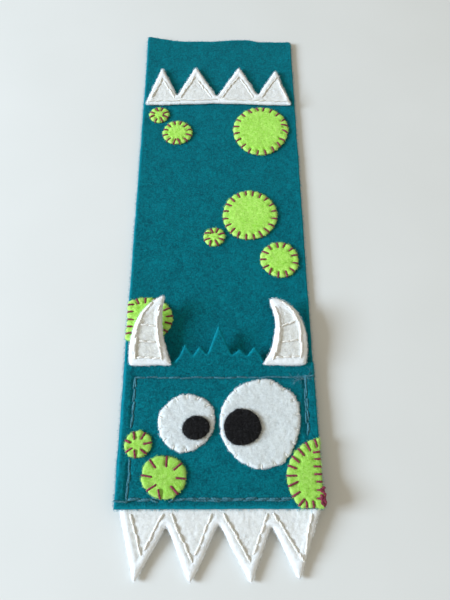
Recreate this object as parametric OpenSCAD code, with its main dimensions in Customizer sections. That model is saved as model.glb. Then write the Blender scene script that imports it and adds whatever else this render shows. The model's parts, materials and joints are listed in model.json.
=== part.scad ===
// Fold-over felt monster puppet, laid open flat on its back.
//
// One long strip of felt is the whole body. A head panel is sewn over its near end, and the
// free far end folds up behind it. Distances along the strip are measured from the bottom
// edge of the head (s = 0) to the far end, and X runs across it, with 0 on the middle line.
// Layers are stacked upwards from the surface that the strip lies on (z = 0).

/* [Felt strip] */
// Width of the strip
strip_w = 76; // [70:1:84]
// Length of the strip at its middle
strip_l = 232; // [224:1:240]
// Thickness of the coloured felt
felt_t = 1.5; // [1.2:0.1:1.8]
// Thickness of the white tooth and horn felt
white_t = 2; // [1.6:0.1:2.2]

/* [Folds] */
// Where the head folds back
head_fold_s = 56; // [56:0.5:58]
// Where the far end folds back
pocket_fold_s = 148; // [144:1:152]

/* [Head panel] */
// Height of the head panel at its shoulders
panel_l = 54.5; // [53.5:0.5:55]
// How far the fang strip is tucked in under the head panel
fang_tuck = 7; // [5:0.5:8]
// Length over which the head panel comes down off the fang strip
step_l = 4; // [3:0.5:4]

/* [Fangs and horns] */
// Length of the fangs below the head
fang_l = 24; // [20:1:28]
// Tilt of the horns off the strip, in degrees
horn_tilt = 6; // [6:0.5:9]

/* [Stitching] */
// Thickness of the sewing thread where it lies on the felt
thread_t = 0.5; // [0.4:0.1:0.6]
// Width of a thread
thread_w = 0.7; // [0.5:0.1:0.9]
// Length of a whip stitch on the spot that it holds down
whip_l = 2.4; // [1.8:0.2:2.8]
// Length of a whip stitch on the two larger spots on the head
long_whip_l = 3.2; // [2.6:0.2:3.6]
// Length of a whip stitch on an eye or a pupil
eye_whip_l = 1.4; // [1:0.2:1.6]
// Length of a stitch in the straight seams
seam_l = 3.4; // [2.6:0.2:3.8]
// Distance from one seam stitch to the next
seam_pitch = 4.2; // [4:0.1:5]

/* [Hidden] */

teal = [0.03, 0.38, 0.43];
white = [0.90, 0.91, 0.89];
cream = [0.80, 0.78, 0.70];
lime = [0.58, 0.83, 0.25];
plum = [0.38, 0.10, 0.22];
slate = [0.28, 0.42, 0.45];
black = [0.05, 0.05, 0.06];

half_w = strip_w / 2;
// The far edge was cut by hand: X, and how far it stands past strip_l
far_edge = [
    [half_w, 0.3], [29, 0.6], [21, 0.6], [16, 2.2], [8, 2.2], [-3, 1.2], [-24, 1.2], [-32, 2.6], [-half_w, 3.5]
];
far_corner = far_edge[len(far_edge) - 1][1];
// The origin is at the middle of the whole outline
origin_s = (strip_l + far_corner - fang_l) / 2;

head_top = 2 * felt_t;
eye_top = 3 * felt_t;
clearance = 0.05;
blob_n = 40;
// How far a whip stitch reaches past the edge that it holds down
whip_out = 0.5;

// Spots and eyes are hand-cut rounds: [X, s, width, height, turn of the wobble]
far_small = [-29.7, 182, 9.7, 9.8, 20];
far_medium = [-20.3, 170.9, 14.1, 14.4, 80];
far_large = [20.3, 172.2, 26.6, 29.2, 10];
mid_large = [14, 124, 24.4, 26, 60];
mid_small = [-2, 112.7, 9.6, 9.4, 0];
mid_medium = [26.5, 101.2, 16.4, 17.4, 140];
horn_round = [-30.6, 73.1, 22.8, 20.8, 30];
cheek_small = [-30.1, 22.7, 10.2, 10.2, 50];
cheek_medium = [-19.7, 10.9, 16.6, 15.4, 200];
corner_round = [39, 10.6, 27.6, 29, 340];
eye_left = [-12.1, 30.7, 22, 21.8, 10];
eye_right = [16.1, 30.8, 31.4, 34.2, 350];
pupil_left = [-8.3, 28.6, 10.4, 9.2, 45];
pupil_right = [9.2, 28.7, 14.2, 14, 45];

// The head panel's seam, as a rectangle: left, right, bottom, top
seam_left = -33;
seam_right = 34;
seam_bottom = 3;
seam_top = 48.5;

// The head panel's left edge, a little inside the strip's
panel_left = -37.3;
// Tufts of hair along the head panel's top edge, right to left
hair = [
    [17.9, panel_l], [16.7, 57], [14.5, 60.4], [11.3, 56.8], [8.6, 59.4], [5.3, 57], [0.1, 69],
    [-4.4, 57.3], [-7.6, 60.6], [-10.1, 56.9], [-13.3, 61.5], [-15.7, 56.5], [-17.6, panel_l]
];
// Points of the four teeth near the far end, left to right, tips and gaps in turn
teeth = [
    [-29.2, 212], [-21, 193.6], [-12.1, 212.5], [-1.1, 193], [10.3, 212.5], [19.4, 193.7], [29, 210.2]
];
teeth_base = [[36.2, 187.3], [0, 188.9], [-37, 187.8]];
// Points of the four fangs, left to right, tips and gaps in turn; -1 is the full length
fangs = [
    [-29.1, -0.98], [-18.3, -0.22], [-9.7, -1], [0.3, -0.19], [11.4, -1], [19.1, -0.23], [28.2, -0.95]
];
// The V of stitches in each fang and tooth: its left foot, its point and its right foot
fang_lines = [
    [[-31.2, -0.06], [-26.9, -0.63], [-19.7, -0.06]],
    [[-16.8, -0.06], [-9, -0.72], [-2.2, -0.06]],
    [[2.1, -0.06], [11.3, -0.71], [17.9, -0.06]],
    [[19.8, -0.06], [30, -0.7], [33.3, -0.06]]
];
tooth_lines = [
    [[-33.6, 191.9], [-28.8, 204.7], [-22.6, 191.9]],
    [[-19.2, 191.9], [-12.4, 205.3], [-3.9, 191.9]],
    [[1.2, 191.9], [10, 205.8], [17, 191.9]],
    [[21.4, 191.9], [29.1, 205.2], [33.4, 191.4]]
];
fang_left = -35.6;
fang_right = 36.8;
tip_w = 0.5;

// Each horn lies between two curves that run from its foot to its tip
horn_foot = 53;
left_outer = [[-35.2, 53], [-37, 65], [-34, 77], [-22.5, 82]];
left_inner = [[-18.4, 53], [-22.5, 63], [-24, 73], [-21.8, 81.4]];
right_outer = [[34.8, 53], [37.5, 66], [34, 80], [21.5, 80.6]];
right_inner = [[17.5, 53], [24, 63], [24, 73], [20.4, 79.4]];
horn_steps = 12;

// ---- Points and outlines ----

// Point of a cubic curve at t, from 0 to 1
function bezier(c, t) =
    pow(1 - t, 3) * c[0] + 3 * t * pow(1 - t, 2) * c[1] + 3 * t * t * (1 - t) * c[2] + pow(t, 3) * c[3];

// Radius factor of a hand-cut round in direction a
function wobble(b, a) = 1 + 0.02 * sin(2 * a + b[4]) + 0.015 * sin(3 * a + 2 * b[4]);

// Point on the edge of a hand-cut round, moved outwards by grow
function edge_point(b, a, grow = 0) = [
    b[0] + (b[2] / 2 * wobble(b, a) + grow) * cos(a),
    b[1] + (b[3] / 2 * wobble(b, a) + grow) * sin(a)
];

// Row of pointed teeth: each tip becomes two points, a little apart
function tooth_points(list, scale_s, dir) = [
    for (i = [0:len(list) - 1])
        for (side = i % 2 == 0 ? [-1, 1] : [0])
            [list[i][0] + side * tip_w * dir, list[i][1] * scale_s]
];

module blob(b, grow = 0) {
    polygon([for (i = [0:blob_n - 1]) edge_point(b, i * 360 / blob_n, grow)]);
}

module strip_area() {
    translate([-half_w, -1]) square([strip_w, strip_l + 2]);
}

module head_area() {
    translate([-half_w, 0]) square([strip_w, panel_l]);
}

module horn_outline(outer, inner) {
    polygon(concat(
        [for (i = [0:horn_steps]) bezier(outer, i / horn_steps)],
        [for (i = [horn_steps:-1:0]) bezier(inner, i / horn_steps)]
    ));
}

// ---- Layers ----

// Everything is drawn by its distance s along the strip and moved to the origin here
module place() {
    translate([0, -origin_s, 0]) children();
}

// A flat layer on the open strip
module flat(z, t) {
    translate([0, 0, z]) linear_extrude(t) children();
}

// A layer on the head that steps up over the tucked-in part of the fang strip
module draped(z, t) {
    s_step = fang_tuck + step_l;
    intersection() {
        translate([0, 0, -1]) linear_extrude(30) children();
        translate([-strip_w, 0, 0]) rotate([90, 0, 90]) linear_extrude(2 * strip_w)
            polygon([
                [-5, z + white_t], [fang_tuck, z + white_t], [s_step, z], [90, z],
                [90, z + t], [s_step, z + t], [fang_tuck, z + white_t + t], [-5, z + white_t + t]
            ]);
    }
}

// ---- Stitches ----

// Footprint of one stitch of length l, from its middle
module stitch(p, a, l) {
    translate(p) rotate(a) translate([-l / 2, -thread_w / 2]) square([l, thread_w]);
}

// Whip stitches round the edge of a hand-cut round, from angle a0 to a1
module whip_marks(b, n, l, a0 = 0, a1 = 360) {
    for (i = [0:n - 1]) {
        a = a0 + (i + 0.5) * (a1 - a0) / n;
        stitch(edge_point(b, a, (whip_out - l) / 2), a, l + whip_out);
    }
}

// Stitches in a straight line from p to q
module seam_marks(p, q, l = seam_l, pitch = seam_pitch) {
    d = norm(q - p);
    n = max(1, floor(d / pitch));
    a = atan2(q[1] - p[1], q[0] - p[0]);
    for (i = [0:n - 1]) stitch(p + (q - p) * (i + 0.5) / n, a, l);
}

// Stitches over the edge of a flat round: on top of it, and down beside it
module flat_whips(b, n, a0 = 0, a1 = 360) {
    difference() {
        flat(felt_t, felt_t + thread_t) intersection() {
            whip_marks(b, n, whip_l, a0, a1);
            strip_area();
        }
        flat(felt_t - 1, felt_t + 1) blob(b, clearance);
    }
}

// The same on the head, for a round whose underside is at z
module draped_whips(b, n, z, l, a0 = 0, a1 = 360) {
    difference() {
        draped(z, felt_t + thread_t) intersection() {
            whip_marks(b, n, l, a0, a1);
            head_area();
        }
        draped(z, felt_t) blob(b, clearance);
    }
}

// ---- The strip, one piece of felt in three panels ----

module head_backing() {
    color(teal) flat(0, felt_t) translate([-half_w, 0]) square([strip_w, head_fold_s]);
}

module back_panel() {
    color(teal) flat(0, felt_t)
        translate([-half_w, head_fold_s]) square([strip_w, pocket_fold_s - head_fold_s]);
}

module pocket_panel() {
    color(teal) flat(0, felt_t) polygon(concat(
        [[-half_w, pocket_fold_s], [half_w, pocket_fold_s]],
        [for (p = far_edge) [p[0], strip_l + p[1]]]
    ));
}

// ---- Head ----

module head_panel() {
    color(teal) draped(felt_t, felt_t) polygon(concat(
        [[panel_left, 0], [half_w, 0], [half_w, panel_l]], hair, [[panel_left, panel_l]]
    ));
}

// Runs round the head panel, and stops where the spots cover it
module head_seam() {
    gap = thread_w;
    spot_low = cheek_small[1] - cheek_small[3] / 2 - gap;
    spot_high = cheek_small[1] + cheek_small[3] / 2 + gap;
    corner_left = corner_round[0] - corner_round[2] / 2 + gap;
    corner_high = corner_round[1] + corner_round[3] / 2 + gap;
    color(slate) draped(head_top, thread_t) {
        seam_marks([seam_left, seam_top], [seam_right, seam_top]);
        seam_marks([seam_left, seam_bottom], [seam_left, spot_low]);
        seam_marks([seam_left, spot_high], [seam_left, seam_top]);
        seam_marks([seam_right, corner_high], [seam_right, seam_top]);
        difference() {
            seam_marks([seam_left, seam_bottom], [corner_left, seam_bottom]);
            blob(cheek_medium, thread_w + clearance);
        }
    }
}

module eye(b) {
    color(white) draped(head_top, felt_t) blob(b);
}

module eye_stitches(b, n) {
    color(cream) draped_whips(b, n, head_top, eye_whip_l);
}

module pupil(b) {
    color(black) flat(eye_top, felt_t) blob(b);
}

module pupil_stitches(b, n) {
    color(black) difference() {
        flat(eye_top, felt_t + thread_t) whip_marks(b, n, eye_whip_l);
        flat(eye_top - 1, felt_t + 1) blob(b, clearance);
    }
}

// ---- Horns, sewn to the head panel's top edge by their feet ----

module horn_place() {
    translate([0, horn_foot, head_top]) rotate([horn_tilt, 0, 0]) translate([0, -horn_foot, 0])
        children();
}

module horn(outer, inner) {
    color(white) horn_place() linear_extrude(white_t) horn_outline(outer, inner);
}

// A line of stitches inside each edge, one across the foot and two across the horn
module horn_stitches(outer, inner) {
    inset = 0.17;
    top_steps = horn_steps - 3;
    color(cream) horn_place() translate([0, 0, white_t]) linear_extrude(thread_t) {
        for (w = [inset, 1 - inset], i = [1:top_steps]) {
            t0 = i / horn_steps;
            t1 = (i + 0.8) / horn_steps;
            p = bezier(outer, t0) * (1 - w) + bezier(inner, t0) * w;
            q = bezier(outer, t1) * (1 - w) + bezier(inner, t1) * w;
            stitch((p + q) / 2, atan2(q[1] - p[1], q[0] - p[0]), norm(q - p));
        }
        for (line = [[0.09, 0.2], [0.29, 0.27], [0.51, 0.27]]) {
            p = bezier(outer, line[0]);
            q = bezier(inner, line[0]);
            seam_marks(p + (q - p) * line[1], q + (p - q) * line[1], 2, 2.6);
        }
    }
}

// ---- Fangs: one strip, tucked in under the head panel ----

module fang_root() {
    color(white) flat(felt_t, white_t)
        translate([fang_left, 0]) square([fang_right - fang_left, fang_tuck]);
}

module fang_strip() {
    color(white) flat(felt_t, white_t)
        polygon(concat([[fang_left, 0]], tooth_points(fangs, fang_l, 1), [[fang_right, 0]]));
}

// A V of stitches inside each fang or tooth. The right arm stops short of the left one.
module v_stitches(lines, scale_s) {
    short = 0.14;
    for (v = lines) {
        left = [v[0][0], v[0][1] * scale_s];
        point = [v[1][0], v[1][1] * scale_s];
        right = [v[2][0], v[2][1] * scale_s];
        seam_marks(left, point, 2.2, 3);
        seam_marks(right, point + (right - point) * short, 2.2, 3);
    }
}

module fang_stitches() {
    color(cream) flat(felt_t + white_t, thread_t) v_stitches(fang_lines, fang_l);
}

// ---- Teeth near the far end ----

module tooth_row() {
    color(white) flat(felt_t, white_t) polygon(concat(tooth_points(teeth, 1, 1), teeth_base));
}

module tooth_stitches() {
    base_up = 1.6;
    color(cream) flat(felt_t + white_t, thread_t) {
        for (side = [0, 1])
            seam_marks(teeth_base[side] + [side == 0 ? -1.5 : -1, base_up],
                       teeth_base[side + 1] + [side == 0 ? 1 : 1.5, base_up], 3, 3.6);
        v_stitches(tooth_lines, 1);
    }
}

// ---- Spots ----

module flat_spot(b) {
    color(lime) flat(felt_t, felt_t) intersection() {
        blob(b);
        strip_area();
    }
}

module flat_spot_stitches(b, n, a0 = 0, a1 = 360) {
    color(plum) flat_whips(b, n, a0, a1);
}

module head_spot(b) {
    color(lime) draped(head_top, felt_t) intersection() {
        blob(b);
        head_area();
    }
}

module head_spot_stitches(b, n, l, a0, a1) {
    color(plum) draped_whips(b, n, head_top, l, a0, a1);
}

// The corner spot is also held along the two cut edges of the panel
module corner_spot_stitches() {
    head_spot_stitches(corner_round, 9, long_whip_l, 95.5, 229.5);
    color(plum) draped(head_top + felt_t, thread_t) {
        for (s = [3.6:2.7:20]) stitch([half_w - whip_l / 2, s], 0, whip_l);
        for (x = [31.6, 34.2]) stitch([x, whip_l / 2], 90, whip_l);
    }
}

// The spot behind the left horn is also held along the strip's cut edge
module horn_spot_stitches() {
    flat_spot_stitches(horn_round, 12, -122, 122);
    color(plum) flat(2 * felt_t, thread_t)
        for (s = [67:3.2:80]) stitch([whip_l / 2 - half_w, s], 0, whip_l);
}

place() back_panel();
place() head_backing();
place() pocket_panel();
place() head_panel();
place() head_seam();
place() eye(eye_left);  // left_eye
place() eye_stitches(eye_left, 14);  // left_eye_stitches
place() pupil(pupil_left);  // left_pupil
place() pupil_stitches(pupil_left, 8);  // left_pupil_stitches
place() eye(eye_right);  // right_eye
place() eye_stitches(eye_right, 18);  // right_eye_stitches
place() pupil(pupil_right);  // right_pupil
place() pupil_stitches(pupil_right, 10);  // right_pupil_stitches
place() horn(left_outer, left_inner);  // left_horn
place() horn_stitches(left_outer, left_inner);  // left_horn_stitches
place() horn(right_outer, right_inner);  // right_horn
place() horn_stitches(right_outer, right_inner);  // right_horn_stitches
place() fang_root();
place() fang_strip();
place() fang_stitches();
place() tooth_row();
place() tooth_stitches();
place() flat_spot(far_small);  // far_small_spot
place() flat_spot_stitches(far_small, 8);  // far_small_spot_stitches
place() flat_spot(far_medium);  // far_medium_spot
place() flat_spot_stitches(far_medium, 12);  // far_medium_spot_stitches
place() flat_spot(far_large);  // far_large_spot
place() flat_spot_stitches(far_large, 20);  // far_large_spot_stitches
place() flat_spot(mid_large);  // mid_large_spot
place() flat_spot_stitches(mid_large, 20);  // mid_large_spot_stitches
place() flat_spot(mid_small);  // mid_small_spot
place() flat_spot_stitches(mid_small, 8);  // mid_small_spot_stitches
place() flat_spot(mid_medium);  // mid_medium_spot
place() flat_spot_stitches(mid_medium, 13);  // mid_medium_spot_stitches
place() flat_spot(horn_round);  // horn_spot
place() horn_spot_stitches();
place() head_spot(cheek_small);  // cheek_small_spot
place() head_spot_stitches(cheek_small, 7, whip_l, -18.7, 341.3);  // cheek_small_spot_stitches
place() head_spot(cheek_medium);  // cheek_medium_spot
place() head_spot_stitches(cheek_medium, 8, long_whip_l, -27.5, 332.5);  // cheek_medium_spot_stitches
place() head_spot(corner_round);  // corner_spot
place() corner_spot_stitches();
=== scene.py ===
"""Looks of the felt monster puppet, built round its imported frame.

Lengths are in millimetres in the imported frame, and become metres where a mesh is made. Outlines and
stitch places are read from the CAD nodes; s is the distance along the strip from the head's bottom edge.
Each piece has a seed, which fixes its cut edge, its lumps, its loose fibres and the lie of its thread.
"""

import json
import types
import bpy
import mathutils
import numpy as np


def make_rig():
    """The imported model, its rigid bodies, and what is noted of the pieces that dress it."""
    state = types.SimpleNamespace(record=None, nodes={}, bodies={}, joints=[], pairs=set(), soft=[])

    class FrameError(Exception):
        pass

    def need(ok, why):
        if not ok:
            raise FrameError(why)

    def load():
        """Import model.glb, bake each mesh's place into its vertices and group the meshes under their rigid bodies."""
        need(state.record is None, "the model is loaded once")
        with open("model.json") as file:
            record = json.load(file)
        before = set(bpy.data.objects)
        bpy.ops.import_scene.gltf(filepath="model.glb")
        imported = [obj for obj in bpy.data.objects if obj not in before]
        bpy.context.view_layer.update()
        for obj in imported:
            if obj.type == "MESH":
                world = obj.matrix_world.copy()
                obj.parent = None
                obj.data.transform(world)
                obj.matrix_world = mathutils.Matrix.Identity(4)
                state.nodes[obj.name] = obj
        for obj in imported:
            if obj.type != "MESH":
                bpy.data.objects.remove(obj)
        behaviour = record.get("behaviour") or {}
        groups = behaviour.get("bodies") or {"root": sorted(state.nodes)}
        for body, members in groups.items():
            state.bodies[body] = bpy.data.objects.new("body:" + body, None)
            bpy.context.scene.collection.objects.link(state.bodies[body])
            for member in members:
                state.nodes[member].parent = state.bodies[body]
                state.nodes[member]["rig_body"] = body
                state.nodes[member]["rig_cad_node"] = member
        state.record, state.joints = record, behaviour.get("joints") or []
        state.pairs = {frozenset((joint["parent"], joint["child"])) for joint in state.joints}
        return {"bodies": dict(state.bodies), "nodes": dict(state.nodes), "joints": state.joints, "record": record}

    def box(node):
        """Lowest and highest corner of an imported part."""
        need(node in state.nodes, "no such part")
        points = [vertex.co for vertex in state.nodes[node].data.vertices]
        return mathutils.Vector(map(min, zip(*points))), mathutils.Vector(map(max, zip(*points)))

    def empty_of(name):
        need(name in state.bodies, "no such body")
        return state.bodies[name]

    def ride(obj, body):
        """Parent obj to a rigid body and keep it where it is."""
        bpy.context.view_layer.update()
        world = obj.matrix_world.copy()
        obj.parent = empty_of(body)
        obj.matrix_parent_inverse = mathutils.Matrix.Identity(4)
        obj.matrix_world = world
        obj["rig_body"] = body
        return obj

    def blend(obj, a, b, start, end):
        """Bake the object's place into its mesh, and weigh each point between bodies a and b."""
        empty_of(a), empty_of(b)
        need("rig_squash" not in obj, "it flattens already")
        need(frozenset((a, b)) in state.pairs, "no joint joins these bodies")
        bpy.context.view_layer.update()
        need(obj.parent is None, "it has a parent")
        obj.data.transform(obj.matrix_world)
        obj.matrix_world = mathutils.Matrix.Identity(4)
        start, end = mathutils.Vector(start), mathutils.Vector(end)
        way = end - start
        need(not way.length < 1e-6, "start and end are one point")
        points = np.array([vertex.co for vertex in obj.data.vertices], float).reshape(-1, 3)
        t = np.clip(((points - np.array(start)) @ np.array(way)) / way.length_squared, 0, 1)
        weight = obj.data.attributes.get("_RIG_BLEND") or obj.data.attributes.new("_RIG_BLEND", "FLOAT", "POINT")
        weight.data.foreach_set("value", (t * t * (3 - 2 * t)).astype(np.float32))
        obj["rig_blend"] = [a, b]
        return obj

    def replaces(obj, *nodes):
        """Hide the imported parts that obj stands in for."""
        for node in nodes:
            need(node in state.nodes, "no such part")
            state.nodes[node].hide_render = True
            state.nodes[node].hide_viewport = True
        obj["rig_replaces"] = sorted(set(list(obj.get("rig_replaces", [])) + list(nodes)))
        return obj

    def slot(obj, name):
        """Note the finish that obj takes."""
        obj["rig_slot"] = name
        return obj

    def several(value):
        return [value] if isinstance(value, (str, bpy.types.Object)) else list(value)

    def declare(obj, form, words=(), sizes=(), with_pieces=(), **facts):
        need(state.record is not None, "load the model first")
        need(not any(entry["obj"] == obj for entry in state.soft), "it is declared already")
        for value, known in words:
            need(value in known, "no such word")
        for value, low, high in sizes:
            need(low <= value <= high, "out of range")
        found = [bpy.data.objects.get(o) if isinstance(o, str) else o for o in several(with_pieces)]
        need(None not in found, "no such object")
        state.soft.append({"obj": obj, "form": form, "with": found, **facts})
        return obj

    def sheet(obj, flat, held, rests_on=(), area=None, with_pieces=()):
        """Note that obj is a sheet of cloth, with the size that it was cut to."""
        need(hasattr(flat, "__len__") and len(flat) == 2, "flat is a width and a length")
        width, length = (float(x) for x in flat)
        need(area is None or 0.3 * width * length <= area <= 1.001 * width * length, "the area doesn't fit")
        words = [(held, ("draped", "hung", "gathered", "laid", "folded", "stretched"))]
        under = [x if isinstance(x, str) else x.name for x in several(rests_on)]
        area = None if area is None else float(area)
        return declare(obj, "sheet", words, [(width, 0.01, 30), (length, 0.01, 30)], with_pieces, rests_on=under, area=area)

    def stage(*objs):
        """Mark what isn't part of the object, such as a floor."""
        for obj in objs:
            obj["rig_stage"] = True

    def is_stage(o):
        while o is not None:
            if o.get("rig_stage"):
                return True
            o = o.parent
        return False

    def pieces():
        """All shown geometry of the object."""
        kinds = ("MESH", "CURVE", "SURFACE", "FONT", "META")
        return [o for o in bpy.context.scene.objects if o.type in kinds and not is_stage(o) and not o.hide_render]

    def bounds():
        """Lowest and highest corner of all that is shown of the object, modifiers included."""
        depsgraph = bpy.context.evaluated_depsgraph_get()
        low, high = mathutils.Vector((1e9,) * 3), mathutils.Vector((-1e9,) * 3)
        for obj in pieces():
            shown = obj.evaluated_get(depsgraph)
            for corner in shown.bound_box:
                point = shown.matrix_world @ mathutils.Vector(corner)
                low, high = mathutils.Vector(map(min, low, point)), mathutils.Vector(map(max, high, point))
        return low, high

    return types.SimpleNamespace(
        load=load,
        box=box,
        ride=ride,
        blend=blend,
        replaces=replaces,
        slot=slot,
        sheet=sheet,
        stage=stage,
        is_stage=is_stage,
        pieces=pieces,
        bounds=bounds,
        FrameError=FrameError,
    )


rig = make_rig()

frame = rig.load()

import json
import math

import bpy
import numpy as np
from mathutils import Vector, geometry, noise

cad_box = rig.bounds()
MM = 0.001


# ---- What the frame says ----

def box_mm(node):
    """Lowest and highest corner of a CAD node, in millimetres."""
    low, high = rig.box(node)
    return np.array(low) / MM, np.array(high) / MM


def fold_at(name):
    """Place along Y of a joint's axis."""
    return next(j for j in frame["joints"] if j["name"] == name)["pos_m"][1] / MM


HEAD_LOW, HEAD_HIGH = box_mm("head_backing")
HEAD_Y = HEAD_LOW[1]                                         # the head's bottom edge
HALF_W = HEAD_HIGH[0]                                        # half of the strip's width
FELT_THICK = HEAD_HIGH[2]
WHITE_THICK = np.ptp([c[2] for c in box_mm("fang_root")])
TUCK = np.ptp([c[1] for c in box_mm("fang_root")])           # how far the fangs are tucked in
FOOT_Y = box_mm("left_horn")[0][1]                           # where the horns are sewn on
SEAM_LOW, SEAM_HIGH = box_mm("head_seam")
HEAD_FOLD = fold_at("head_fold")
POCKET_FOLD = fold_at("pocket_fold")


def merged(node):
    """A CAD node's points and triangles in millimetres, with points at one place joined."""
    mesh = frame["nodes"][node].data
    mesh.calc_loop_triangles()
    points = np.zeros(len(mesh.vertices) * 3)
    mesh.vertices.foreach_get("co", points)
    points, index = np.unique(np.round(points.reshape(-1, 3) / MM, 3), axis=0, return_inverse=True)
    triangles = np.array([t.vertices for t in mesh.loop_triangles])
    return points, index.ravel()[triangles]


def outline_of(node):
    """A CAD node's outline seen from above, as points in anticlockwise order."""
    points, triangles = merged(node)
    a, b, c = (points[triangles[:, k]] for k in range(3))
    normal = np.cross(b - a, c - a)
    upward = normal[:, 2] > 0.5 * np.linalg.norm(normal, axis=1)
    after = {}
    edges = {(t[i], t[(i + 1) % 3]) for t in triangles[upward] for i in range(3)}
    for p, q in edges:
        if (q, p) not in edges:
            after[p] = q
    start = min(after)
    loop = [start]
    while after[loop[-1]] != start:
        loop.append(after[loop[-1]])
    return points[loop][:, :2]


def bars_of(node):
    """The two ends of each separate stitch in a CAD node, seen from above."""
    points, triangles = merged(node)
    label = np.arange(len(points))
    while True:
        least = label[triangles].min(axis=1)
        new = label.copy()
        for k in range(3):
            np.minimum.at(new, triangles[:, k], least)
        if (new == label).all():
            break
        label = new
    bars = []
    for k in np.unique(label):
        flat = points[label == k][:, :2]
        flat = flat[np.unique(np.round(flat, 2), axis=0, return_index=True)[1]]
        middle = (flat.min(axis=0) + flat.max(axis=0)) / 2
        along = np.linalg.svd(flat - flat.mean(axis=0))[2][0]
        reach = (flat - middle) @ along
        bars.append((middle + along * reach.min(), middle + along * reach.max()))
    return bars


# ---- Numbers and outlines ----

def smooth(t):
    """0 before 0, 1 after 1, and an S between them."""
    t = np.clip(t, 0, 1)
    return t * t * (3 - 2 * t)


def ripple(xy, size, seed):
    """Smooth noise from -1 to 1 over the plane, with bumps of about that size."""
    return np.array([noise.noise(Vector((x / size, y / size, 7.3 * seed))) for x, y in xy])


def distances(points, starts, ends):
    """Distance from each point to the nearest of some line segments."""
    along = ends - starts
    squared = np.maximum((along ** 2).sum(axis=1), 1e-9)
    out = []
    for block in np.array_split(points, max(1, len(points) * len(starts) // 1_000_000)):
        to = block[:, None, :] - starts[None]
        t = np.clip((to * along).sum(axis=2) / squared, 0, 1)
        out.append(np.linalg.norm(to - t[..., None] * along, axis=2).min(axis=1))
    return np.concatenate(out)


def inside(points, loop):
    """True for each point within a closed outline."""
    a, b = loop, np.roll(loop, -1, axis=0)
    out = []
    for block in np.array_split(points, max(1, len(points) * len(loop) // 1_000_000)):
        x, y = block[:, :1], block[:, 1:]
        crosses = (a[:, 1] > y) != (b[:, 1] > y)
        rise = np.where(a[:, 1] == b[:, 1], 1, b[:, 1] - a[:, 1])
        left = x < a[:, 0] + (b[:, 0] - a[:, 0]) * (y - a[:, 1]) / rise
        out.append((crosses & left).sum(axis=1) % 2 == 1)
    return np.concatenate(out)


def resampled(loop, step):
    """A closed outline again, with points about step apart."""
    closed = np.vstack([loop, loop[:1]])
    along = np.concatenate([[0], np.cumsum(np.linalg.norm(np.diff(closed, axis=0), axis=1))])
    at = np.linspace(0, along[-1], max(8, round(along[-1] / step)), endpoint=False)
    return np.stack([np.interp(at, along, closed[:, k]) for k in (0, 1)], axis=1)


def outward(loop):
    """Unit normals of an anticlockwise outline, pointing out of it."""
    along = np.roll(loop, -1, axis=0) - np.roll(loop, 1, axis=0)
    out = np.stack([along[:, 1], -along[:, 0]], axis=1)
    return out / np.maximum(np.linalg.norm(out, axis=1, keepdims=True), 1e-9)


def hand_cut(loop, step, wander, seed, rounding=2, trim=0.0):
    """An outline as scissors leave it: its corners a little round and its edges a little uneven.

    Wander is how far its edges stray, and trim is how much is left for the loose fibres there.
    """
    loop = resampled(loop, step)
    for _ in range(rounding):
        loop = (np.roll(loop, 1, axis=0) + 2 * loop + np.roll(loop, -1, axis=0)) / 4
    shift = wander * ripple(loop, 7, seed) + 0.4 * wander * ripple(loop, 1.3, seed + 1)
    return loop + outward(loop) * (shift - trim)[:, None]


def curve_through(points, count):
    """A smooth curve of count points through a few given ones."""
    p = np.vstack([2 * points[0] - points[1], points, 2 * points[-1] - points[-2]])
    out = []
    for u in np.linspace(0, len(points) - 1 - 1e-6, count):
        i, t = int(u), u % 1
        a, b, c, d = p[i:i + 4]
        out.append(0.5 * (2 * b + (c - a) * t + (2 * a - 5 * b + 4 * c - d) * t ** 2
                          + (3 * b - a - 3 * c + d) * t ** 3))
    return np.array(out)


# ---- Materials ----

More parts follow.
